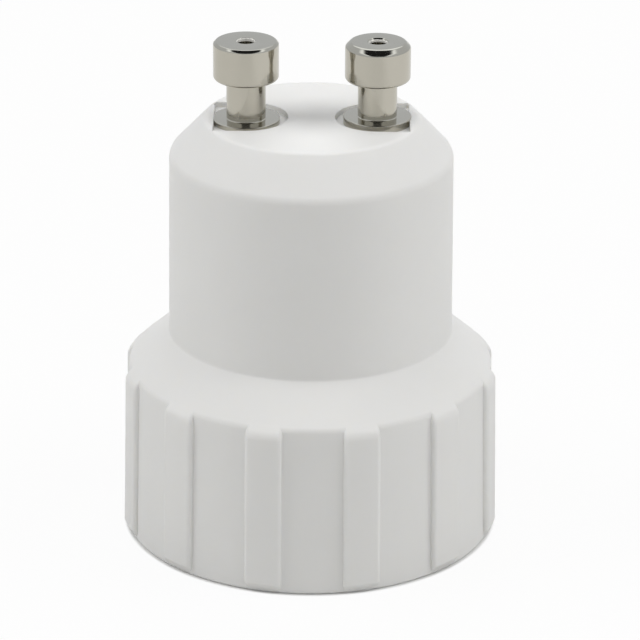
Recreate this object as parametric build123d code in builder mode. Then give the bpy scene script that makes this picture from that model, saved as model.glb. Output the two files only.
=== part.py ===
from build123d import *
import os
from math import hypot

# Lamp socket adapter: two pins on top go into a twist-lock lamp holder,
# and the screw socket in the collar's mouth takes a small screw-cap lamp.
# Millimetres, +Z up, origin in the middle of the collar's rim, pins along X.

# Screw shell and the insert that carries it
thread_radius = 7.0
thread_depth = 0.4
shell_wall = 0.3
shell_lip = 0.9
shell_height = 18.3
tongue_height = 3.7
tongue_width = 3.2
shell_clearance = 0.2
insert_wall = 1.5
insert_clearance = 0.3
face_recess = 1.2
face_thickness = 1.8
mouth_depth = 2.0
floor_thickness = 1.8
seat_ledge = 0.6
seat_clearance = 0.05

# Housing
housing_wall = 1.65
wiring_space = 7.0
top_wall = 3.0
bevel_height = 2.63
bevel_width = 2.75
edge_radius = 1.35
boss_foot_height = 16.2
shoulder_width = 3.8
shoulder_drop = 3.27
rim_break = 0.6
panel_count = 12
panel_angle = 18.5
panel_depth = 0.5

# Pins
pin_spacing = 10.0
head_radius = 2.5
head_height = 2.95
head_chamfer = 0.35
neck_radius = 1.5
neck_length = 3.13
disc_radius = 2.6
disc_stand = 0.12
pin_bore_radius = 0.7
tail_radius = 2.2
tail_thickness = 0.6
pocket_depth = 1.2
pocket_radius = 3.1
pocket_clearance = 0.05

# Centre contact, rivets and leads
contact_width = 4.0
contact_thickness = 0.4
contact_foot = 3.2
contact_drop = 1.9
contact_pad = 2.2
contact_tip_rise = 0.7
contact_bend = 0.5
rivet_radius = 0.8
rivet_head_radius = 1.3
rivet_head_height = 0.5
rivet_gap = 0.3
rivet_clearance = 0.05
conductor_radius = 0.5
lead_radius = 0.8
lead_strip = 0.3
lead_end_depth = 1.0

# Radii, worked from the screw shell outwards
waist_radius = thread_radius - thread_depth
shell_radius = waist_radius + shell_wall
insert_bore = thread_radius + shell_wall + shell_clearance
lip_radius = thread_radius + shell_lip
mouth_radius = lip_radius + shell_clearance
tube_radius = insert_bore + insert_wall
cavity_radius = tube_radius + insert_clearance
boss_radius = cavity_radius + housing_wall
top_face_radius = boss_radius - bevel_width
collar_radius = boss_radius + shoulder_width
panel_radius = collar_radius - panel_depth
collar_bore = panel_radius - housing_wall
face_radius = collar_bore - seat_clearance
ledge_radius = collar_bore - seat_ledge
rivet_reach = waist_radius - rivet_gap - rivet_head_radius
pin_reach = pin_spacing / 2

# Heights, worked from the rim upwards
seat_height = face_recess + face_thickness
lip_height = face_recess + mouth_depth
floor_height = lip_height + shell_height
floor_top = floor_height + floor_thickness
cavity_top = floor_top + wiring_space
top_height = cavity_top + top_wall
pocket_floor = top_height - pocket_depth
disc_top = top_height + disc_stand
head_foot = disc_top + neck_length
head_top = head_foot + head_height
bevel_foot = top_height - bevel_height
collar_top = boss_foot_height - shoulder_drop
rivet_top = floor_top + rivet_head_height
pin_tail = cavity_top - tail_thickness

# Ceiling over the collar's hollow, one wall below the sloping shoulder
shoulder_slope = shoulder_drop / shoulder_width
shoulder_wall = housing_wall * hypot(1, shoulder_slope)
ceiling_height = boss_foot_height - (ledge_radius - boss_radius) * shoulder_slope - shoulder_wall

os.makedirs("parts", exist_ok=True)


def upright(x, y):
    """Vertical plane through the upright axis at x, y: its x runs along X and its y up Z."""
    return Plane(origin=(x, y, 0), x_dir=(1, 0, 0), z_dir=(0, -1, 0))


def axis_of(plane):
    """The upright axis that a plane from upright() stands on."""
    return Axis(plane.origin, plane.y_dir)


def save(builder, name):
    """Labels a finished piece and writes it."""
    builder.part.label = name
    export_step(builder.part, f"parts/{name}.step")


# Housing: one hollow moulding with ribs round the collar and a keyed pocket for each pin
with BuildPart() as housing:
    with BuildSketch(Plane.XZ):
        with BuildLine():
            outline = (
                (0, top_height),
                (top_face_radius, top_height),
                (boss_radius, bevel_foot),
                (boss_radius, boss_foot_height),
                (collar_radius, collar_top),
                (collar_radius, rim_break),
                (collar_radius - rim_break, 0),
                (collar_bore, 0),
                (collar_bore, seat_height),
                (ledge_radius, seat_height),
                (ledge_radius, ceiling_height),
                (cavity_radius, ceiling_height),
                (cavity_radius, cavity_top),
                (0, cavity_top),
            )
            rounded = (2, 4)
            FilletPolyline(outline, radius=[edge_radius * (i in rounded) for i in range(len(outline))], close=True)
        make_face()
    revolve(axis=Axis.Z)
    # Panels sunk into the collar's wall leave ribs between them, and one panel faces front
    with BuildSketch(Plane.XZ) as panel_section:
        with Locations((panel_radius, 0)):
            Rectangle(2 * panel_depth, boss_foot_height, align=Align.MIN)
    panel = revolve(panel_section.sketch, axis=Axis.Z, revolution_arc=panel_angle, mode=Mode.PRIVATE)
    with PolarLocations(0, panel_count, start_angle=-panel_angle / 2):
        add(panel, mode=Mode.SUBTRACT)
    # Pockets: square at the outer end, round at the inner end
    with BuildSketch(Plane.XY.offset(pocket_floor)):
        for side in (-1, 1):
            with Locations((side * pin_reach, 0)):
                Circle(pocket_radius)
                with Locations((side * pocket_radius / 2, 0)):
                    Rectangle(pocket_radius, 2 * pocket_radius)
        Rectangle(2 * (pin_reach + disc_radius + pocket_clearance), 2 * pocket_radius, mode=Mode.INTERSECT)
    extrude(amount=pocket_depth, mode=Mode.SUBTRACT)
    with BuildSketch(Plane.XY.offset(cavity_top)):
        with Locations((-pin_reach, 0), (pin_reach, 0)):
            Circle(neck_radius + pocket_clearance)
    extrude(amount=top_wall - pocket_depth, mode=Mode.SUBTRACT)
save(housing, "housing")

# Socket insert: face ring in the collar's mouth, tube round the shell and floor for the contacts
with BuildPart() as socket_insert:
    with BuildSketch(Plane.XZ):
        with BuildLine():
            Polyline(
                (0, floor_height),
                (insert_bore, floor_height),
                (insert_bore, lip_height),
                (mouth_radius, lip_height),
                (mouth_radius, face_recess),
                (face_radius, face_recess),
                (face_radius, seat_height),
                (tube_radius, seat_height),
                (tube_radius, floor_top),
                (0, floor_top),
                close=True,
            )
        make_face()
    revolve(axis=Axis.Z)
    with BuildSketch(Plane.XY.offset(floor_height)):
        with Locations((-rivet_reach, 0), (rivet_reach, 0)):
            Circle(rivet_radius + rivet_clearance)
    extrude(amount=floor_thickness, mode=Mode.SUBTRACT)
save(socket_insert, "socket_insert")

# Screw shell: drawn tube with a lip under the insert's step and a tongue riveted to the floor
with BuildPart() as screw_shell:
    tube_end = floor_height - tongue_height
    with BuildSketch(Plane.XZ):
        with BuildLine():
            Polyline(
                (waist_radius, lip_height - shell_wall),
                (lip_radius, lip_height - shell_wall),
                (lip_radius, lip_height),
                (shell_radius, lip_height),
                (shell_radius, tube_end),
                (waist_radius, tube_end),
                close=True,
            )
        make_face()
    revolve(axis=Axis.Z)
    # Tongue: a flat strip that runs on from the tube's wall and turns in under the floor
    strip_middle = waist_radius + shell_wall / 2
    with BuildSketch(Plane.XY.offset(tube_end)):
        with Locations((strip_middle, 0)):
            Rectangle(shell_wall, tongue_width)
    extrude(amount=tongue_height)
    lug_start = rivet_reach - rivet_head_radius
    with BuildSketch(Plane.XY.offset(floor_height - shell_wall)):
        with Locations(((lug_start + strip_middle) / 2, 0)):
            Rectangle(strip_middle - lug_start, tongue_width)
        with Locations((rivet_reach, 0)):
            Circle(rivet_radius + rivet_clearance, mode=Mode.SUBTRACT)
    extrude(amount=shell_wall)
save(screw_shell, "screw_shell")

# Centre contact: one strip, flat under the floor at its foot and dropped to a pad in the middle
with BuildPart() as centre_contact:
    foot_start = -rivet_reach - contact_foot / 2
    foot_line = floor_height - contact_thickness / 2
    pad_line = foot_line - contact_drop
    with BuildSketch(Plane.XZ):
        with BuildLine():
            FilletPolyline(
                (foot_start, foot_line),
                (foot_start + contact_foot, foot_line),
                (-contact_pad / 2, pad_line),
                (contact_pad / 2, pad_line),
                (contact_pad / 2 + contact_tip_rise, pad_line + contact_tip_rise),
                radius=contact_bend,
            )
        trace(line_width=contact_thickness)
    extrude(amount=contact_width / 2, both=True)
    with BuildSketch(Plane.XY.offset(floor_height - contact_thickness)):
        with Locations((-rivet_reach, 0)):
            Circle(rivet_radius + rivet_clearance)
    extrude(amount=contact_thickness, mode=Mode.SUBTRACT)
save(centre_contact, "centre_contact")

# Rivets: head below the clamped metal, rolled collar on the floor
for name, side, clamped in (("contact_rivet", -1, contact_thickness), ("shell_rivet", 1, shell_wall)):
    plane = upright(side * rivet_reach, 0)
    clamp_face = floor_height - clamped
    with BuildPart() as rivet:
        with BuildSketch(plane):
            with BuildLine():
                Polyline(
                    (0, clamp_face - rivet_head_height),
                    (rivet_head_radius, clamp_face - rivet_head_height),
                    (rivet_head_radius, clamp_face),
                    (rivet_radius, clamp_face),
                    (rivet_radius, floor_top),
                    (rivet_head_radius, floor_top),
                    (rivet_head_radius, rivet_top),
                    (0, rivet_top),
                    close=True,
                )
            make_face()
        revolve(axis=axis_of(plane))
    save(rivet, name)

# Pins: turned hollow pins, disc seated in the pocket, tail clinched under the top wall
for name, side in (("live_pin", -1), ("neutral_pin", 1)):
    plane = upright(side * pin_reach, 0)
    with BuildPart() as pin:
        with BuildSketch(plane):
            with BuildLine():
                Polyline(
                    (pin_bore_radius, pin_tail),
                    (tail_radius, pin_tail),
                    (tail_radius, cavity_top),
                    (neck_radius, cavity_top),
                    (neck_radius, pocket_floor),
                    (disc_radius, pocket_floor),
                    (disc_radius, disc_top),
                    (neck_radius, disc_top),
                    (neck_radius, head_foot),
                    (head_radius - head_chamfer, head_foot),
                    (head_radius, head_foot + head_chamfer),
                    (head_radius, head_top - head_chamfer),
                    (head_radius - head_chamfer, head_top),
                    (pin_bore_radius, head_top),
                    close=True,
                )
            make_face()
        revolve(axis=axis_of(plane))
    save(pin, name)

# Leads: sleeved between rivet and pin, bare where soldered to the rivet and up the pin's bore
for name, side in (("live_lead", -1), ("neutral_lead", 1)):
    low_end = Vector(side * rivet_reach, 0, rivet_top + lead_strip)
    high_end = Vector(side * pin_reach, 0, pin_tail - lead_strip)
    run = high_end - low_end
    with BuildPart() as lead:
        with BuildSketch(Plane(origin=low_end, z_dir=run)):
            Circle(lead_radius)
        extrude(amount=run.length)
        with BuildSketch(Plane.XY.offset(rivet_top)):
            with Locations((low_end.X, 0)):
                Circle(conductor_radius)
        extrude(amount=2 * lead_strip)
        with BuildSketch(Plane.XY.offset(pin_tail - 2 * lead_strip)):
            with Locations((high_end.X, 0)):
                Circle(conductor_radius)
        extrude(amount=head_top - lead_end_depth - pin_tail + 2 * lead_strip)
    save(lead, name)
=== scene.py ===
import math

import bpy
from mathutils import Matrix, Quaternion, Vector


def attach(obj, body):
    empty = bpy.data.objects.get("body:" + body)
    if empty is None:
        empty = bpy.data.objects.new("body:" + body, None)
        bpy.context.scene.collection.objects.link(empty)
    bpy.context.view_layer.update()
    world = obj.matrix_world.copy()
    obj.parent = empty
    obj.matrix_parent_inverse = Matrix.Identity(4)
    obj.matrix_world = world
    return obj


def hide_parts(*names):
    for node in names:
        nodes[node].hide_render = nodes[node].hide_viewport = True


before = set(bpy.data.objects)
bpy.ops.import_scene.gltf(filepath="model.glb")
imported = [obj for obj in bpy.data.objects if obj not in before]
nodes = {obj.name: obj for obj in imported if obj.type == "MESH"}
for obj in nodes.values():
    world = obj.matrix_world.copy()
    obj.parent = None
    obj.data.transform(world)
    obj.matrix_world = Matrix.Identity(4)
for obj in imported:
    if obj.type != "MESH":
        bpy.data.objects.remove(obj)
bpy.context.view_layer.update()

# Lengths are in millimetres until METRE turns them into the scene's metres.
METRE = 0.001
FULL_TURN = 2 * math.pi
UPRIGHT = {"center": (0, 0, 0), "axis": (0, 0, 1)}

# How finely shapes are cut and merged
ARC_STEP = math.radians(6)
ARC_STEPS_LEAST = 3
MERGE_GAP = 0.002
CUT_MERGE_GAP = 0.004
SHARP_ANGLE = math.radians(28)
BROAD_FACE_WEIGHT = 80

# Camera: where it stands, how far it looks down, and its lens in pixels of the picture
CAMERA_SIDE = 0.74
CAMERA_BACK = 262.0
CAMERA_HEIGHT = 126.24
CAMERA_PITCH = 0.3963
CAMERA_ROLL = 0.0067
CAMERA_FOCUS = 3638.6
CAMERA_NEAREST = 10
CAMERA_FURTHEST = 20000
PICTURE_WIDTH = 640
SENSOR_WIDTH = 36.0

# Housing: boss, shoulder and collar
LATHE_STEPS = 288
TOP_HEIGHT = 33.42
TOP_RADIUS = 8.2
TOP_EDGE = 0.6
BEVEL_FOOT = 30.58
BEVEL_EDGE = 0.95
BOSS_TOP_RADIUS = 10.89
BOSS_FOOT_RADIUS = 11.03
BOSS_FOOT = 16.22
BOSS_FOOT_ROUND = 0.25
COLLAR_TOP_RADIUS = 14.7
COLLAR_TOP = 13.03
COLLAR_RIM_RADIUS = 14.88
RIM_BREAK = 0.16
RIM_ROUND = 0.1
RIM_RADIUS = 14.36
HOUSING_CREASE = math.radians(30)

# Grip ribs and the sunk panels between them
PANEL_COUNT = 12
PANEL_TOP_RADIUS = 14.17
PANEL_RIM_RADIUS = 14.5
PANEL_TURN = math.radians(1.1)
PANEL_EDGE = 0.65
RIB_STEPS = 9
RIB_ANGLE = math.radians(11.4)
RIB_ROOT_RADIUS = 13.2
RIB_DIP = 0.12
RIB_RISE_RADIUS = 13.95
RIB_STAND = 0.02
RIB_TOP_RADIUS = 14.62
RIB_CREST = 1.0
RIB_FOOT = 0.75
RIB_FOOT_ROUND = 0.3
RIB_UNDERSIDE = 0.06
RIB_EDGE = 0.3
RIB_EDGE_STEPS = 5
RIB_EDGE_START = RIB_ROOT_RADIUS + 0.2
RIB_SIDE_SLACK = 0.2 * FULL_TURN / LATHE_STEPS

# Housing: mouth and hollow
COLLAR_BORE = 12.6
LEDGE_RADIUS = 12.0
LEDGE_HEIGHT = 3.0
CEILING_HEIGHT = 13.12
CAVITY_RADIUS = 9.3
CAVITY_TOP = 30.3

# Pin pockets in the top face, and the holes through their floors
POCKET_STEPS = 96
POCKET_FLOOR = 33.0
POCKET_CENTRE = 5.05
POCKET_RADIUS = 3.25
POCKET_REACH = 7.45
POCKET_EDGE = 0.06
POCKET_EDGE_STEPS = 2
MOUTH_DEPTH = 0.005
MOUTH_NEAREST = 1
MOUTH_FURTHEST = POCKET_REACH + 0.1
PIN_HOLE_STEPS = 64
PIN_HOLE_GAP = 0.05

# Pins: the right one is the taller by a hair, with its disc set higher and its edges cut back more
PIN_STEPS = 128
PIN_CREASE = math.radians(35)
PIN_REACH = 5.0
PIN_TAIL = 29.7
PIN_TOP = {-1: 39.46, 1: 39.5}
HEAD_EDGE = {-1: 0.2, 1: 0.4}
HEAD_ROUND = {-1: 0.14, 1: 0.32}
BORE_EDGE = {-1: 0.06, 1: 0.14}
DISC_TOP = {-1: 33.36, 1: 33.58}
HEAD_FOOT = 36.45
HEAD_FOOT_ROUND = 0.3
HEAD_RADIUS = 2.5
NECK_RADIUS = 1.5
NECK_TOP_ROUND = 0.12
NECK_FOOT_ROUND = 0.08
DISC_RADIUS = 2.6
DISC_ROUND = 0.06
TAIL_RADIUS = 2.2
TAIL_ROUND = 0.15
PIN_BORE = 0.7
BORE_ROUND = 0.03

# Screw shell: a tube set off its axis and then twisted, which gives the round rolled thread
THREAD_PITCH = 2.82
THREAD_SWING = 0.35
THREAD_FADE = 1.2
SHELL_RADIUS = 6.6
SHELL_WALL = 0.3
SHELL_LIP_RADIUS = 7.9
SHELL_LIP_HEIGHT = 2.9
SHELL_BEND = 0.5
SHELL_BEND_STEPS = 6
SHELL_TOP = 17.8
SHELL_COLUMNS = 80
SHELL_RING_STEP = 0.09
SHELL_CREASE = math.radians(40)
TONGUE_WIDTH = 3.2
TONGUE_END = 3.4
TONGUE_OVERLAP = 0.4
TONGUE_BEND = 0.6
INSERT_FLOOR = 21.5

# Finishes: colours, and where the solder and the woven sleeve begin and end
PLASTIC_COLOUR = (0.803, 0.8, 0.786)
INSERT_COLOUR = (0.79, 0.785, 0.76)
PIN_COLOUR = (0.493, 0.47, 0.406)
SHELL_COLOUR = (0.66, 0.65, 0.61)
BRONZE_COLOUR = (0.78, 0.58, 0.36)
BRASS_COLOUR = (0.8, 0.67, 0.4)
TIN_COLOUR = (0.85, 0.84, 0.8)
TIN_DULLING = 0.4
TIN_FOOT = 39.15
TIN_FADE = 0.1
TIN_REACH = (PIN_BORE + 0.02, PIN_BORE + 0.04)
SLEEVE_GAPS = (0.6, 0.59, 0.55)
SLEEVE_THREADS = (0.86, 0.85, 0.81)
SLEEVE_ROUGHNESS = 0.8
SLEEVE_FOOT = 24.0
SLEEVE_TOP = 29.5
SLEEVE_FADE = 0.05
LEAD_END_ROUGHNESS = 0.35
WEAVE = 9000

# Floor: its shine is what metal mirrors of it, in the middle, to both sides, and more to the right.
# The run round the rim is painted contact shade: there the floor's white fades out to its darker paper,
# which also takes the real shadow, so a thin dark line shows. UNDER_WINDOW is the clear patch inside the
# rim.
FLOOR_SIZE = 6000
FLOOR_DROP = 0.02
FLOOR_COLOUR = (0.77, 0.77, 0.76)
FLOOR_WHITE = 0.93
FLOOR_SHINE = 0.33
FLOOR_SHINE_SIDE = 0.2
FLOOR_SHINE_RIGHT = 0.38
SHINE_RUN = (20, 90)
PAINTED_CONTACT_SHADE_RUN = (14.5, 14.8)
UNDER_WINDOW = (14.1, 14.2)

# Studio: light levels and colours, and where the unlit bay and the strips lie in the sky's directions
WHITE = (1, 1, 1, 1)
WALL_COLOUR = (0.98, 1.0, 1.02)
UNDER_LIGHT = 0.6
UNDER_RUN = (-0.1, 0.0)
SHINE_COLOUR = (0.96, 1.0, 1.057)
SHINE_LIGHT = 0.7
BAY_LIGHT = 0.02
BAY_SIDE = (0.2, 0.3)
BAY_LEAN = -0.31
BAY_BACK = (0.02, 0.2)
BAY_FOOT = (0.3, 0.45)
STRIP_LIGHT = 0.75
STRIP_START = (0.26, 0.32)
STRIP_END = (0.37, 0.46)
STRIP_FOOT = (0.5, 0.6)
REAR_STRIP_START = (0.1, 0.2)
REAR_STRIP_END = (0.7, 0.85)
REAR_STRIP_SIDE = (0.4, 0.55)

# Soft boxes: name, place, size, and power in watts
SOFT_BOX_AIM = (0, 0, 20)
SOFT_BOXES = (
    ("left_box", (-500, 0, 460), 450, 2.1),
    ("right_box", (500, 0, 460), 450, 1.93),
    ("rear_box", (0, 500, 500), 400, 1.1),
    ("front_box", (100, -500, 600), 1200, 3.45),
    ("top_box", (0, 0, 750), 500, 0.5),
    ("ceiling", (0, 0, 700), 2000, 1.0),
)


def softened(corners):
    """The outline through corners of radius, height and rounding, with an arc where there is a rounding."""
    points = []
    for i, (radius, height, rounding) in enumerate(corners):
        if not rounding:
            points.append((radius, height))
            continue
        here = Vector((radius, height))
        back = (Vector(corners[i - 1][:2]) - here).normalized()
        ahead = (Vector(corners[(i + 1) % len(corners)][:2]) - here).normalized()
        half = back.angle(ahead) / 2
        centre = here + (back + ahead).normalized() * rounding / math.sin(half)
        first = here + back * rounding / math.tan(half) - centre
        last = here + ahead * rounding / math.tan(half) - centre
        bend = first.angle(last)
        count = max(ARC_STEPS_LEAST, round(bend / ARC_STEP))
        for k in range(count + 1):
            share = k / count
            blend = first * math.sin((1 - share) * bend) + last * math.sin(share * bend)
            points.append(tuple(centre + blend / math.sin(bend)))
    return points


def edit_all():
    """Opens the active piece in edit mode with all of it selected."""
    bpy.ops.object.mode_set(mode="EDIT")
    bpy.ops.mesh.select_all(action="SELECT")


def leave_edit():
    bpy.ops.object.mode_set(mode="OBJECT")


def deselect_everything():
    if bpy.context.mode != "OBJECT":
        leave_edit()
    bpy.ops.object.select_all(action="DESELECT")


def make_active(piece):
    deselect_everything()
    piece.select_set(True)
    bpy.context.view_layer.objects.active = piece


def apply_modifier(piece, kind, **settings):
    """Gives the piece a modifier with these settings and applies it."""
    make_active(piece)
    bpy.ops.object.modifier_add(type=kind)
    modifier = piece.modifiers[-1]
    for key, value in settings.items():
        setattr(modifier, key, value)
    bpy.ops.object.modifier_apply(modifier=modifier.name)


def start_outline(name, points, closed):
    """A new piece in edit mode: a small plane merged to one point and drawn out into an outline."""
    deselect_everything()
    bpy.ops.mesh.primitive_plane_add(size=METRE, location=(0, 0, 0))
    piece = bpy.context.object
    piece.name = name
    bpy.ops.object.mode_set(mode="EDIT")
    bpy.ops.mesh.merge(type="CENTER")
    places = [Vector((radius, 0, height)) * METRE for radius, height in points]
    bpy.ops.transform.translate(value=places[0])
    for here, there in zip(places, places[1:]):
        bpy.ops.mesh.extrude_vertices_move(TRANSFORM_OT_translate={"value": there - here})
    if closed:
        bpy.ops.mesh.select_all(action="DESELECT")
        leave_edit()
        for k in (0, len(places) - 1):
            piece.data.vertices[k].select = True
        bpy.ops.object.mode_set(mode="EDIT")
        bpy.ops.mesh.edge_face_add()
    bpy.ops.mesh.select_all(action="SELECT")
    return piece


def tidy_normals():
    """In edit mode: merges what meets and turns all faces outwards."""
    bpy.ops.mesh.select_all(action="SELECT")
    bpy.ops.mesh.remove_doubles(threshold=MERGE_GAP * METRE)
    bpy.ops.mesh.normals_make_consistent(inside=False)


def lathe(name, points, steps, closed=False):
    """A turned piece: the outline spun once round the upright axis."""
    piece = start_outline(name, points, closed)
    bpy.ops.mesh.spin(steps=steps, angle=FULL_TURN, **UPRIGHT)
    tidy_normals()
    leave_edit()
    return piece


def turn(piece, angle):
    """Turns the mesh about the upright axis, counter-clockwise from above."""
    make_active(piece)
    edit_all()
    bpy.ops.transform.rotate(value=-angle, orient_axis="Z", center_override=(0, 0, 0))
    leave_edit()


def combine(piece, other, operation):
    """Joins the other shape to the piece, or cuts it out, and removes the other."""
    joining = operation == "UNION"
    apply_modifier(piece, "BOOLEAN", object=other, operation=operation, solver="EXACT", use_self=joining)
    bpy.data.objects.remove(other)
    edit_all()
    bpy.ops.mesh.remove_doubles(threshold=CUT_MERGE_GAP * METRE)
    bpy.ops.mesh.dissolve_degenerate(threshold=CUT_MERGE_GAP * METRE)
    leave_edit()


def soften_edges(piece, chosen, width, steps):
    """Bevels the sharp edges that the given test picks by the middle of the edge."""
    make_active(piece)
    bpy.ops.object.mode_set(mode="EDIT")
    bpy.ops.mesh.select_mode(type="EDGE")
    bpy.ops.mesh.select_all(action="DESELECT")
    bpy.ops.mesh.edges_select_sharp(sharpness=SHARP_ANGLE)
    leave_edit()
    mesh = piece.data
    for edge in mesh.edges:
        if edge.select:
            ends = [mesh.vertices[k].co / METRE for k in edge.vertices]
            edge.select = chosen((ends[0] + ends[1]) / 2)
    bpy.ops.object.mode_set(mode="EDIT")
    bpy.ops.mesh.bevel(offset=width * METRE, segments=steps, affect="EDGES", clamp_overlap=False)
    tidy_normals()
    bpy.ops.mesh.select_mode(type="VERT")
    leave_edit()


def smooth(piece, crease):
    """Shades the piece smooth, apart from edges sharper than the crease."""
    make_active(piece)
    bpy.ops.object.shade_smooth_by_angle(angle=crease)


def shoulder_height(radius):
    share = (radius - BOSS_FOOT_RADIUS) / (COLLAR_TOP_RADIUS - BOSS_FOOT_RADIUS)
    return BOSS_FOOT + (COLLAR_TOP - BOSS_FOOT) * share


def on_rib_side(place):
    """True along the edges of the first rib's two side faces, which lie at the ends of its sweep."""
    sweep = -math.atan2(place.y, place.x)
    at_side = min(abs(sweep), abs(sweep - RIB_ANGLE)) < RIB_SIDE_SLACK
    return at_side and place.xy.length > RIB_EDGE_START


def build_ribs():
    """One grip rib with its crest rounded over, then its copies round the collar."""
    corners = (
        (RIB_ROOT_RADIUS, shoulder_height(RIB_ROOT_RADIUS) - RIB_DIP, 0),
        (RIB_RISE_RADIUS, shoulder_height(RIB_RISE_RADIUS) + RIB_STAND, 0),
        (RIB_TOP_RADIUS, shoulder_height(RIB_TOP_RADIUS) + RIB_STAND, RIB_CREST),
        (COLLAR_RIM_RADIUS, RIB_FOOT, RIB_FOOT_ROUND),
        (RIM_RADIUS, RIB_UNDERSIDE, 0),
        (RIB_ROOT_RADIUS, RIB_UNDERSIDE, 0),
    )
    ribs = start_outline("grip_ribs", softened(corners), closed=True)
    bpy.ops.mesh.edge_face_add()
    bpy.ops.mesh.spin(steps=RIB_STEPS, angle=RIB_ANGLE, **UPRIGHT)
    tidy_normals()
    leave_edit()
    soften_edges(ribs, on_rib_side, RIB_EDGE, RIB_EDGE_STEPS)
    turn(ribs, PANEL_TURN + FULL_TURN / PANEL_COUNT / 2 + RIB_ANGLE / 2 - FULL_TURN / 4)
    edit_all()
    copies = PANEL_COUNT - 1
    bpy.ops.mesh.spin(steps=copies, angle=copies / PANEL_COUNT * FULL_TURN, dupli=True, **UPRIGHT)
    tidy_normals()
    leave_edit()
    return ribs


def round_plug(steps, radius, half_depth, reach, height):
    """An upright cylinder to cut with, its middle at the given reach along X and the given height."""
    deselect_everything()
    bpy.ops.mesh.primitive_cylinder_add(
        vertices=steps,
        radius=radius * METRE,
        depth=2 * half_depth * METRE,
        location=(reach * METRE, 0, height * METRE),
    )
    bpy.ops.object.transform_apply()
    return bpy.context.object


def pocket_cutter(side):
    """One pin pocket: round on the inner side, drawn out straight to a square outer end."""
    centre = side * POCKET_CENTRE
    piece = round_plug(POCKET_STEPS, POCKET_RADIUS, TOP_HEIGHT - POCKET_FLOOR, centre, TOP_HEIGHT)
    edit_all()
    bpy.ops.mesh.bisect(
        plane_co=(centre * METRE, 0, 0), plane_no=(side, 0, 0), clear_outer=True, use_fill=True
    )
    run = side * (POCKET_REACH - POCKET_CENTRE) * METRE
    bpy.ops.mesh.extrude_region_move(TRANSFORM_OT_translate={"value": (run, 0, 0)})
    tidy_normals()
    leave_edit()
    return piece


def pin_hole_cutter(side):
    radius = NECK_RADIUS + PIN_HOLE_GAP
    return round_plug(PIN_HOLE_STEPS, radius, TOP_HEIGHT - CAVITY_TOP, side * PIN_REACH, CAVITY_TOP)


def on_pocket_mouth(place):
    """True on the top face round the pockets, short of the top face's own edge."""
    return place.z > TOP_HEIGHT - MOUTH_DEPTH and MOUTH_NEAREST < place.xy.length < MOUTH_FURTHEST


def build_housing():
    corners = (
        (0, TOP_HEIGHT, 0),
        (TOP_RADIUS, TOP_HEIGHT, TOP_EDGE),
        (BOSS_TOP_RADIUS, BEVEL_FOOT, BEVEL_EDGE),
        (BOSS_FOOT_RADIUS, BOSS_FOOT, BOSS_FOOT_ROUND),
        (PANEL_TOP_RADIUS, shoulder_height(PANEL_TOP_RADIUS), PANEL_EDGE),
        (PANEL_RIM_RADIUS, RIM_BREAK, RIM_ROUND),
        (RIM_RADIUS, 0, 0),
        (COLLAR_BORE, 0, 0),
        (COLLAR_BORE, LEDGE_HEIGHT, 0),
        (LEDGE_RADIUS, LEDGE_HEIGHT, 0),
        (LEDGE_RADIUS, CEILING_HEIGHT, 0),
        (CAVITY_RADIUS, CEILING_HEIGHT, 0),
        (CAVITY_RADIUS, CAVITY_TOP, 0),
        (0, CAVITY_TOP, 0),
    )
    housing = lathe("moulded_housing", softened(corners), LATHE_STEPS)
    combine(housing, build_ribs(), "UNION")
    for side in (-1, 1):
        combine(housing, pocket_cutter(side), "DIFFERENCE")
        combine(housing, pin_hole_cutter(side), "DIFFERENCE")
    soften_edges(housing, on_pocket_mouth, POCKET_EDGE, POCKET_EDGE_STEPS)
    smooth(housing, HOUSING_CREASE)
    # The broad faces set the shading, so that they look flat up to their softened edges.
    apply_modifier(housing, "WEIGHTED_NORMAL", keep_sharp=True, weight=BROAD_FACE_WEIGHT)
    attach(housing, "root")
    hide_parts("housing")
    return housing


def build_pin(name, side):
    disc_top, pin_top = DISC_TOP[side], PIN_TOP[side]
    chamfer, bore_edge = HEAD_EDGE[side], BORE_EDGE[side]
    corners = (
        (PIN_BORE, PIN_TAIL, 0),
        (TAIL_RADIUS, PIN_TAIL, TAIL_ROUND),
        (TAIL_RADIUS, CAVITY_TOP, TAIL_ROUND),
        (NECK_RADIUS, CAVITY_TOP, 0),
        (NECK_RADIUS, POCKET_FLOOR, 0),
        (DISC_RADIUS, POCKET_FLOOR, 0),
        (DISC_RADIUS, disc_top, DISC_ROUND),
        (NECK_RADIUS, disc_top, NECK_FOOT_ROUND),
        (NECK_RADIUS, HEAD_FOOT, NECK_TOP_ROUND),
        (HEAD_RADIUS, HEAD_FOOT, HEAD_FOOT_ROUND),
        (HEAD_RADIUS, pin_top - chamfer, HEAD_ROUND[side]),
        (HEAD_RADIUS - chamfer, pin_top, HEAD_ROUND[side]),
        (PIN_BORE + bore_edge, pin_top, BORE_ROUND),
        (PIN_BORE, pin_top - bore_edge, BORE_ROUND),
    )
    pin = lathe(name, softened(corners), PIN_STEPS, closed=True)
    make_active(pin)
    bpy.ops.transform.translate(value=(side * PIN_REACH * METRE, 0, 0))
    bpy.ops.object.transform_apply()
    smooth(pin, PIN_CREASE)
    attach(pin, "root")
    return pin


def thread_swing(height):
    """How far the tube stands off its axis: full along the thread, fading out at both plain ends."""
    run_in = (height - SHELL_LIP_HEIGHT - SHELL_BEND) / THREAD_FADE
    run_out = (SHELL_TOP - height) / THREAD_FADE
    share = min(max(min(run_in, run_out), 0), 1)
    return THREAD_SWING * share * share * (3 - 2 * share)


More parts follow.
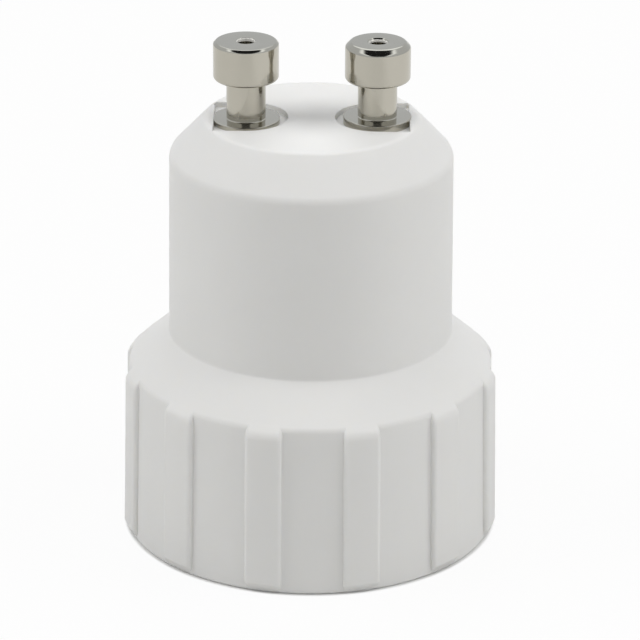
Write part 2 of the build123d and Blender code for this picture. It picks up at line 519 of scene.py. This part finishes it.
def shell_rings():
    """Radius and height of each ring of the shell, round the bend from the lip and then up the tube."""
    bends = [math.radians(90 * k / SHELL_BEND_STEPS) for k in range(SHELL_BEND_STEPS + 1)]
    rings = [
        (SHELL_RADIUS + SHELL_BEND * (1 - math.sin(a)), SHELL_LIP_HEIGHT + SHELL_BEND * (1 - math.cos(a)))
        for a in bends
    ]
    tube_foot = rings[-1][1]
    count = round((SHELL_TOP - tube_foot) / SHELL_RING_STEP)
    step = (SHELL_TOP - tube_foot) / count
    return rings + [(SHELL_RADIUS, tube_foot + step * (k + 1)) for k in range(count)]


def thicken(piece, wall):
    """Gives a sheet its wall, added on the side that its faces look to."""
    apply_modifier(piece, "SOLIDIFY", thickness=wall * METRE, offset=1)


def build_tongue():
    """Flat strip that rises from the tube's end and turns in under the floor to its rivet."""
    reach = SHELL_RADIUS + SHELL_WALL / 2
    height = INSERT_FLOOR - SHELL_WALL
    corners = (
        (reach, SHELL_TOP - TONGUE_OVERLAP, 0),
        (reach, height, TONGUE_BEND),
        (TONGUE_END, height, 0),
    )
    tongue = start_outline("shell_tongue", softened(corners), closed=False)
    bpy.ops.transform.translate(value=(0, -TONGUE_WIDTH / 2 * METRE, 0))
    bpy.ops.mesh.extrude_edges_move(TRANSFORM_OT_translate={"value": (0, TONGUE_WIDTH * METRE, 0)})
    tidy_normals()
    leave_edit()
    thicken(tongue, SHELL_WALL)
    return tongue


def build_shell():
    """Rolled shell: a flat lip, a bend up into the tube, and the thread; then its tongue to the rivet."""
    deselect_everything()
    bpy.ops.mesh.primitive_circle_add(
        vertices=SHELL_COLUMNS, radius=SHELL_LIP_RADIUS * METRE, location=(0, 0, SHELL_LIP_HEIGHT * METRE)
    )
    shell = bpy.context.object
    shell.name = "rolled_screw_shell"
    bpy.ops.object.transform_apply()
    edit_all()
    radius, height, swing = SHELL_LIP_RADIUS, SHELL_LIP_HEIGHT, 0
    for next_radius, next_height in shell_rings():
        rise = (next_height - height) * METRE
        shift = (thread_swing(next_height) - swing) * METRE
        bpy.ops.mesh.extrude_edges_move(TRANSFORM_OT_translate={"value": (shift, 0, rise)})
        if next_radius != radius:
            grow = next_radius / radius
            bpy.ops.transform.resize(value=(grow, grow, 1), center_override=(0, 0, next_height * METRE))
        radius, height, swing = next_radius, next_height, thread_swing(next_height)
    tidy_normals()
    leave_edit()
    winding = FULL_TURN * (SHELL_TOP - SHELL_LIP_HEIGHT) / THREAD_PITCH
    apply_modifier(shell, "SIMPLE_DEFORM", deform_method="TWIST", deform_axis="Z", angle=winding)
    thicken(shell, SHELL_WALL)
    tongue = build_tongue()
    make_active(shell)
    tongue.select_set(True)
    bpy.ops.object.join()
    smooth(shell, SHELL_CREASE)
    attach(shell, "root")
    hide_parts("screw_shell")
    return shell


class Wire:
    """A shader socket that takes part in Python sums: each operator adds one Math node."""

    def __init__(self, graph, socket):
        self.graph = graph
        self.socket = socket

    def maths(self, operation, first, second):
        return self.graph.node("ShaderNodeMath", {"operation": operation}, {0: first, 1: second})

    def __add__(self, other):
        return self.maths("ADD", self, other)

    __radd__ = __add__

    def __sub__(self, other):
        return self.maths("SUBTRACT", self, other)

    def __rsub__(self, other):
        return self.maths("SUBTRACT", other, self)

    def __mul__(self, other):
        return self.maths("MULTIPLY", self, other)

    __rmul__ = __mul__

    def largest(self, other):
        return self.maths("MAXIMUM", self, other)

    def root(self):
        return self.maths("SQRT", self, 0)

    def size(self):
        return self.maths("ABSOLUTE", self, 0)

    def sine(self):
        return self.maths("SINE", self, 0)


class Graph:
    """A node tree that starts empty."""

    def __init__(self, owner):
        owner.use_nodes = True
        self.tree = owner.node_tree
        self.tree.nodes.clear()

    def node(self, kind, settings=None, inputs=None, output=0):
        """Adds one node: its settings first, then values or links for its sockets, and gives one output."""
        made = self.tree.nodes.new(kind)
        for key, value in (settings or {}).items():
            setattr(made, key, value)
        for key, value in (inputs or {}).items():
            if isinstance(value, Wire):
                self.tree.links.new(value.socket, made.inputs[key])
            else:
                made.inputs[key].default_value = value
        if not made.outputs:
            return None
        return Wire(self, made.outputs[output])


def noise(graph, scale, detail, stretch=(1, 1, 1)):
    """Noise over the piece, in grains per metre, stretched along the axes as asked."""
    place = graph.node("ShaderNodeTexCoord", output="Object")
    place = graph.node("ShaderNodeMapping", inputs={"Vector": place, "Scale": stretch})
    return graph.node("ShaderNodeTexNoise", inputs={"Vector": place, "Scale": scale, "Detail": detail})


def relief(graph, height, strength, depth):
    """A bump that follows the height, over the given depth."""
    return graph.node(
        "ShaderNodeBump", inputs={"Strength": strength, "Distance": depth * METRE, "Height": height}
    )


def finish_surface(graph, **sockets):
    surface = graph.node(
        "ShaderNodeBsdfPrincipled", inputs={key.replace("_", " "): value for key, value in sockets.items()}
    )
    graph.node("ShaderNodeOutputMaterial", inputs={"Surface": surface})


def place_parts(graph, kind="Object"):
    """The place on a piece in metres, or the direction in the world, as its three parts."""
    place = graph.node("ShaderNodeTexCoord", output=kind)
    return [graph.node("ShaderNodeSeparateXYZ", inputs={0: place}, output=axis) for axis in "XYZ"]


def fade(graph, value, start, end):
    """Nought before start and one after end, with a smooth run between."""
    return graph.node(
        "ShaderNodeMapRange",
        {"interpolation_type": "SMOOTHSTEP"},
        {"Value": value, "From Min": start, "From Max": end},
    )


def fade_along(graph, place, start, end):
    """The same along a piece or the floor, where start and end are lengths."""
    return fade(graph, place, start * METRE, end * METRE)


def mixed(graph, share, first, second):
    """A colour that turns from the first into the second as the share goes from nought to one."""
    first, second = (colour if isinstance(colour, Wire) else (*colour, 1) for colour in (first, second))
    # A Mix node's colour sockets come after those for numbers and vectors.
    return graph.node("ShaderNodeMix", {"data_type": "RGBA"}, {0: share, 6: first, 7: second}, output=2)


def shaded(graph, share, colour, low, high):
    """The colour at a level that goes from low to high with the share."""
    return mixed(graph, share, *(tuple(level * part for part in colour) for level in (low, high)))


def varied(share, middle, spread):
    """A number that spreads about its middle as the share goes from nought to one."""
    return share * spread + (middle - spread / 2)


def moulded_plastic(name, colour, roughness, grain):
    """Moulded plastic with a faint orange-peel surface and a hardly visible mottle."""
    material = bpy.data.materials.new(name)
    graph = Graph(material)
    peel = noise(graph, scale=900, detail=2)
    mottle = noise(graph, scale=160, detail=3)
    finish_surface(
        graph,
        Base_Color=shaded(graph, mottle, colour, low=0.985, high=1.015),
        Roughness=varied(mottle, roughness, spread=0.1),
        IOR=1.49,
        Specular_IOR_Level=0.125,
        Subsurface_Weight=0.35,
        Subsurface_Radius=(1.0, 0.95, 0.85),
        Subsurface_Scale=0.6 * METRE,
        Normal=relief(graph, peel, strength=grain, depth=0.1),
    )
    return material


def tinned_band(graph):
    """One just inside the mouth of a pin's bore, where solder has run up, and nought elsewhere."""
    across, away, up = place_parts(graph)
    off = across.size() - PIN_REACH * METRE
    out = (off * off + away * away).root()
    inside = 1 - fade_along(graph, out, *TIN_REACH)
    return inside * fade_along(graph, up, TIN_FOOT, TIN_FOOT + TIN_FADE)


def plated_metal(name, colour, roughness, tinned=False):
    """Bright plate with fine rings round it and small rubbed patches, and tinned bores where asked."""
    material = bpy.data.materials.new(name)
    graph = Graph(material)
    rings = noise(graph, scale=400, detail=2, stretch=(0.3, 0.3, 12))
    rubs = noise(graph, scale=700, detail=4)
    plate = shaded(graph, rubs, colour, low=0.97, high=1.03)
    metallic = 1.0
    rough = varied(rubs, roughness, spread=0.14)
    if tinned:
        tin = tinned_band(graph)
        plate = mixed(graph, tin, plate, TIN_COLOUR)
        metallic = 1 - tin
        rough = rough + tin * TIN_DULLING
    finish_surface(
        graph,
        Base_Color=plate,
        Metallic=metallic,
        Roughness=rough,
        Normal=relief(graph, rings, strength=0.04, depth=0.05),
    )
    return material


def drawn_metal(name, colour, roughness):
    """Bare rolled metal: fine straight rolling lines and a little dulling."""
    material = bpy.data.materials.new(name)
    graph = Graph(material)
    lines = noise(graph, scale=600, detail=3, stretch=(0.2, 8, 8))
    dulling = noise(graph, scale=300, detail=4)
    finish_surface(
        graph,
        Base_Color=shaded(graph, dulling, colour, low=0.88, high=1),
        Metallic=1.0,
        Roughness=varied(dulling, roughness, spread=0.2),
        Normal=relief(graph, lines, strength=0.08, depth=0.05),
    )
    return material


def woven_sleeve(name):
    """Woven white sleeve between the lead's two tinned ends."""
    material = bpy.data.materials.new(name)
    graph = Graph(material)
    across, away, up = place_parts(graph)
    round_way = across + away
    crossing = ((round_way + up) * WEAVE).sine().largest(((round_way - up) * WEAVE).sine())
    weave = crossing * 0.5 + 0.5
    bare = fade_along(graph, up, SLEEVE_TOP, SLEEVE_TOP + SLEEVE_FADE)
    bare = bare.largest(1 - fade_along(graph, up, SLEEVE_FOOT - SLEEVE_FADE, SLEEVE_FOOT))
    cloth = mixed(graph, weave, SLEEVE_GAPS, SLEEVE_THREADS)
    finish_surface(
        graph,
        Base_Color=mixed(graph, bare, cloth, TIN_COLOUR),
        Metallic=bare,
        Roughness=SLEEVE_ROUGHNESS - (SLEEVE_ROUGHNESS - LEAD_END_ROUGHNESS) * bare,
        Normal=relief(graph, weave * (1 - bare), strength=0.5, depth=0.1),
    )
    return material


def dress(piece, material):
    piece.data.materials.clear()
    piece.data.materials.append(material)


def shown_white(graph):
    """Two masks of rays that show the white background: straight to the camera, and by metal or glass."""
    seen = graph.node("ShaderNodeLightPath", output="Is Camera Ray")
    mirrored = graph.node("ShaderNodeLightPath", output="Is Glossy Ray")
    through = graph.node("ShaderNodeLightPath", output="Is Transmission Ray")
    return seen, mirrored.largest(through)


def build_stage():
    """White floor that shows white to the camera and in reflections, and still takes a soft shadow.

    It is clear from below and inside the rim, so that a view from under it sees into a lit mouth.
    """
    deselect_everything()
    bpy.ops.mesh.primitive_plane_add(size=FLOOR_SIZE * METRE, location=(0, 0, -FLOOR_DROP * METRE))
    floor = bpy.context.object
    floor.name = "floor"
    material = bpy.data.materials.new("floor_white")
    graph = Graph(material)
    seen, mirrored = shown_white(graph)
    paper = graph.node("ShaderNodeBsdfDiffuse", inputs={"Color": (*FLOOR_COLOUR, 1)})
    glow = graph.node("ShaderNodeEmission", inputs={"Color": WHITE, "Strength": 1.0})
    across, away = place_parts(graph)[:2]
    shine = FLOOR_SHINE + FLOOR_SHINE_SIDE * fade_along(graph, across.size(), *SHINE_RUN)
    shine = shine + FLOOR_SHINE_RIGHT * fade_along(graph, across, *SHINE_RUN)
    distance = (across * across + away * away).root()
    # Painted contact shade: the white fades out in a thin ring at the rim, so the darker paper and its real
    # shadow show as a dark line.
    shown = seen * FLOOR_WHITE * fade_along(graph, distance, *PAINTED_CONTACT_SHADE_RUN)
    shown = shown.largest(mirrored * shine)
    lit = graph.node("ShaderNodeMixShader", inputs={0: shown, 1: paper, 2: glow})
    below = graph.node("ShaderNodeNewGeometry", output="Backfacing")
    under = 1 - fade_along(graph, distance, *UNDER_WINDOW)
    clear = graph.node("ShaderNodeBsdfTransparent")
    both = graph.node("ShaderNodeMixShader", inputs={0: below.largest(under), 1: lit, 2: clear})
    graph.node("ShaderNodeOutputMaterial", inputs={"Surface": both})
    dress(floor, material)


def soft_box(name, place, size, power):
    """A square lamp aimed at the object, which metal doesn't mirror."""
    deselect_everything()
    place = Vector(place) * METRE
    aim = Vector(SOFT_BOX_AIM) * METRE
    bpy.ops.object.light_add(type="AREA", location=place)
    lamp = bpy.context.object
    lamp.name = name
    lamp.data.shape = "SQUARE"
    lamp.data.size = size * METRE
    lamp.data.energy = power
    lamp.rotation_euler = (aim - place).to_track_quat("-Z", "Y").to_euler()
    lamp.visible_glossy = False


def build_light():
    """Soft boxes light the object. Metal mirrors pale walls, an unlit bay in front and above, and strips."""
    world = bpy.data.worlds.new("studio")
    bpy.context.scene.world = world
    graph = Graph(world)
    across, away, up = place_parts(graph, "Generated")
    seen, mirrored = shown_white(graph)
    side = across.size() + up * BAY_LEAN
    in_front = 1 - fade(graph, away, *BAY_BACK)
    bay = (1 - fade(graph, side, *BAY_SIDE)) * in_front * fade(graph, up, *BAY_FOOT)
    strip = fade(graph, side, *STRIP_START) * (1 - fade(graph, side, *STRIP_END)) * in_front
    rear_strip = fade(graph, away, *REAR_STRIP_START) * (1 - fade(graph, away, *REAR_STRIP_END))
    rear_strip = rear_strip * (1 - fade(graph, across.size(), *REAR_STRIP_SIDE))
    strips = strip.largest(rear_strip) * fade(graph, up, *STRIP_FOOT)
    plain = UNDER_LIGHT * (1 - fade(graph, up, *UNDER_RUN))
    lit = plain + (SHINE_LIGHT + STRIP_LIGHT * strips - plain) * mirrored
    studio = graph.node(
        "ShaderNodeBackground",
        inputs={
            "Color": mixed(graph, mirrored, WALL_COLOUR, SHINE_COLOUR),
            "Strength": lit + (BAY_LIGHT - lit) * bay,
        },
    )
    backdrop = graph.node("ShaderNodeBackground", inputs={"Color": WHITE, "Strength": 1.0})
    both = graph.node("ShaderNodeMixShader", inputs={0: seen, 1: studio, 2: backdrop})
    graph.node("ShaderNodeOutputWorld", inputs={"Surface": both})
    for box in SOFT_BOXES:
        soft_box(*box)


def build_camera():
    bpy.ops.object.camera_add()
    camera = bpy.context.object
    camera.location = Vector((CAMERA_SIDE, -CAMERA_BACK, CAMERA_HEIGHT)) * METRE
    camera.rotation_mode = "XYZ"
    camera.rotation_euler = (math.pi / 2 - CAMERA_PITCH, 0, 0)
    look = camera.rotation_euler.to_quaternion()
    camera.rotation_mode = "QUATERNION"
    camera.rotation_quaternion = look @ Quaternion((0, 0, 1), CAMERA_ROLL)
    camera.data.sensor_width = SENSOR_WIDTH
    camera.data.lens = CAMERA_FOCUS / PICTURE_WIDTH * SENSOR_WIDTH
    camera.data.clip_start = CAMERA_NEAREST * METRE
    camera.data.clip_end = CAMERA_FURTHEST * METRE
    bpy.context.scene.camera = camera


housing = build_housing()
live_pin = build_pin("live_pin_turned", -1)
neutral_pin = build_pin("neutral_pin_turned", 1)
shell = build_shell()
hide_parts("live_pin")
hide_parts("neutral_pin")

pin_plate = plated_metal("plated_pin_bright", PIN_COLOUR, roughness=0.12, tinned=True)
insert_plastic = moulded_plastic("insert_plastic_matt", INSERT_COLOUR, roughness=0.6, grain=0.08)
brass = drawn_metal("rivet_brass_bare", BRASS_COLOUR, roughness=0.3)
sleeve = woven_sleeve("woven_sleeve_white")
dress(housing, moulded_plastic("white_plastic_satin", PLASTIC_COLOUR, roughness=0.42, grain=0.03))
dress(live_pin, pin_plate)
dress(neutral_pin, pin_plate)
dress(shell, plated_metal("nickel_plated_shell", SHELL_COLOUR, roughness=0.2))
dress(nodes["socket_insert"], insert_plastic)
dress(nodes["centre_contact"], drawn_metal("spring_bronze", BRONZE_COLOUR, roughness=0.35))
for name in ("contact_rivet", "shell_rivet"):
    dress(nodes[name], brass)
for name in ("live_lead", "neutral_lead"):
    dress(nodes[name], sleeve)

build_stage()
build_light()
build_camera()
bpy.context.scene.view_settings.view_transform = "Standard"
